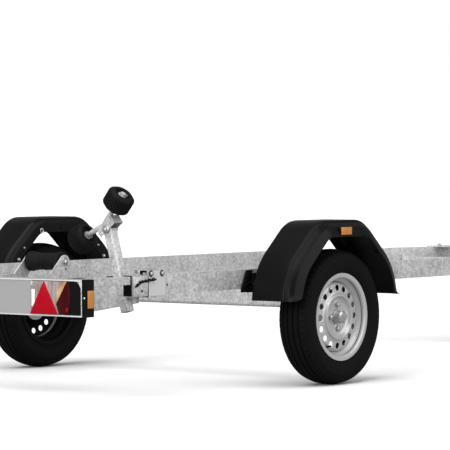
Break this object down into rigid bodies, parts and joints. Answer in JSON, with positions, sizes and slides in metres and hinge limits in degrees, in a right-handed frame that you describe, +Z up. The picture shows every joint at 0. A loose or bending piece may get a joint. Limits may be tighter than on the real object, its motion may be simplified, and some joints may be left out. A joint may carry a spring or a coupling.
{
  "type": "boat trailer",
  "caption": "Single-axle galvanised boat trailer with fenders, swivelling side rollers, keel roller, pull-out light board, winch post and jockey wheel.",
  "frame": {"origin": "on the ground under the middle of the overall length, on the trailer's centre plane", "axes": "+X forward to the coupling, +Y to the trailer's left, +Z up"},
  "size_m": [5.485, 1.8198, 1.04],
  "materials": {
    "galvanised_steel": "hot-dip galvanised, dull with faint spangle",
    "zinc_plate": "bright zinc plate",
    "silver_paint": "semi-gloss silver paint",
    "tyre_rubber": "matt black rubber",
    "roller_rubber": "ribbed black rubber",
    "black_plastic": "satin moulded black plastic",
    "black_paint": "satin black paint",
    "board_aluminium": "satin extruded profile",
    "lamp_red": "glossy lens",
    "red_reflector": "prismatic red reflector",
    "amber_reflector": "prismatic amber reflector"
  },
  "bodies": {
    "frame": {"rail_right": "galvanised_steel", "rail_left": "galvanised_steel", "drawbar": "galvanised_steel", "front_cross_member": "galvanised_steel", "front_cross_plate": "galvanised_steel", "drawbar_joint_plates": "galvanised_steel", "rear_cross_beam": "galvanised_steel", "rail_collars": "galvanised_steel", "rail_end_guides": "black_plastic", "axle_tube": "galvanised_steel", "axle_arms": "galvanised_steel", "axle_saddles": "galvanised_steel", "fender_right": "black_plastic", "fender_left": "black_plastic", "fender_stays": "black_paint", "fender_reflectors": "amber_reflector", "side_post_right": "galvanised_steel", "side_post_left": "galvanised_steel", "keel_roller_bracket": "galvanised_steel", "coupling_head": "zinc_plate", "coupling_handle": "zinc_plate", "winch_post": "galvanised_steel", "winch_post_clamp": "galvanised_steel", "bow_stop": "roller_rubber", "winch_frame": "zinc_plate", "jockey_clamp": "zinc_plate", "jockey_outer_tube": "zinc_plate"},
    "road_wheel_right": {"tyre_right": "tyre_rubber", "wheel_right": "silver_paint", "hub_right": "zinc_plate"},
    "road_wheel_left": {"tyre_left": "tyre_rubber", "wheel_left": "silver_paint", "hub_left": "zinc_plate"},
    "side_rocker_right": {"rocker_right": "galvanised_steel"},
    "side_rocker_left": {"rocker_left": "galvanised_steel"},
    "roller_right_outer": {"side_roller_right_outer": "roller_rubber"},
    "roller_right_inner": {"side_roller_right_inner": "roller_rubber"},
    "roller_left_outer": {"side_roller_left_outer": "roller_rubber"},
    "roller_left_inner": {"side_roller_left_inner": "roller_rubber"},
    "keel_roller": {"keel_roller": "roller_rubber"},
    "lights": {"light_board": "board_aluminium", "light_board_caps": "black_plastic", "light_board_side_reflectors": "amber_reflector", "tail_lamp_right": "lamp_red", "tail_lamp_left": "lamp_red", "warning_triangles": "red_reflector", "light_board_arms": "galvanised_steel"},
    "winch_drum": {"winch_drum": "zinc_plate"},
    "jockey_leg": {"jockey_leg": "zinc_plate"},
    "jockey_fork": {"jockey_fork": "zinc_plate"},
    "jockey_wheel": {"jockey_wheel": "roller_rubber"}
  },
  "joints": [
    {"name": "road_wheel_right_spin", "type": "hinge", "parent": "frame", "child": "road_wheel_right", "pos_m": [-1.2075, -0.814, 0.281], "axis": [0, 1, 0], "continuous": true},
    {"name": "road_wheel_left_spin", "type": "hinge", "parent": "frame", "child": "road_wheel_left", "pos_m": [-1.2075, 0.814, 0.281], "axis": [0, 1, 0], "continuous": true},
    {"name": "side_rocker_right_tilt", "type": "hinge", "parent": "frame", "child": "side_rocker_right", "pos_m": [-2.2475, -0.509, 0.661], "axis": [1, 0, 0], "range_deg": [-22, 22]},
    {"name": "roller_right_outer_spin", "type": "hinge", "parent": "side_rocker_right", "child": "roller_right_outer", "pos_m": [-2.2475, -0.55349, 0.7723], "axis": [0, 0.6293, -0.7771], "continuous": true},
    {"name": "roller_right_inner_spin", "type": "hinge", "parent": "side_rocker_right", "child": "roller_right_inner", "pos_m": [-2.2475, -0.36706, 0.62401], "axis": [0, 0.8988, -0.4384], "continuous": true},
    {"name": "side_rocker_left_tilt", "type": "hinge", "parent": "frame", "child": "side_rocker_left", "pos_m": [-2.2475, 0.509, 0.661], "axis": [1, 0, 0], "range_deg": [-22, 22]},
    {"name": "roller_left_outer_spin", "type": "hinge", "parent": "side_rocker_left", "child": "roller_left_outer", "pos_m": [-2.2475, 0.55349, 0.7723], "axis": [0, -0.6293, -0.7771], "continuous": true},
    {"name": "roller_left_inner_spin", "type": "hinge", "parent": "side_rocker_left", "child": "roller_left_inner", "pos_m": [-2.2475, 0.36706, 0.62401], "axis": [0, -0.8988, -0.4384], "continuous": true},
    {"name": "keel_roller_spin", "type": "hinge", "parent": "frame", "child": "keel_roller", "pos_m": [-2.0535, 0, 0.52], "axis": [0, 1, 0], "continuous": true},
    {"name": "light_board_slide", "type": "slide", "parent": "frame", "child": "lights", "axis": [-1, 0, 0], "range_m": [-0.35, 0.9]},
    {"name": "winch_drum_turn", "type": "hinge", "parent": "frame", "child": "winch_drum", "pos_m": [1.8425, 0, 0.995], "axis": [0, 1, 0], "continuous": true},
    {"name": "jockey_leg_slide", "type": "slide", "parent": "frame", "child": "jockey_leg", "axis": [0, 0, 1], "range_m": [-0.1, 0.14]},
    {"name": "jockey_swivel", "type": "hinge", "parent": "jockey_leg", "child": "jockey_fork", "pos_m": [2.3525, -0.082, 0.236], "axis": [0, 0, 1], "continuous": true},
    {"name": "jockey_wheel_spin", "type": "hinge", "parent": "jockey_fork", "child": "jockey_wheel", "pos_m": [2.3125, -0.082, 0.1], "axis": [0, 1, 0], "continuous": true}
  ]
}
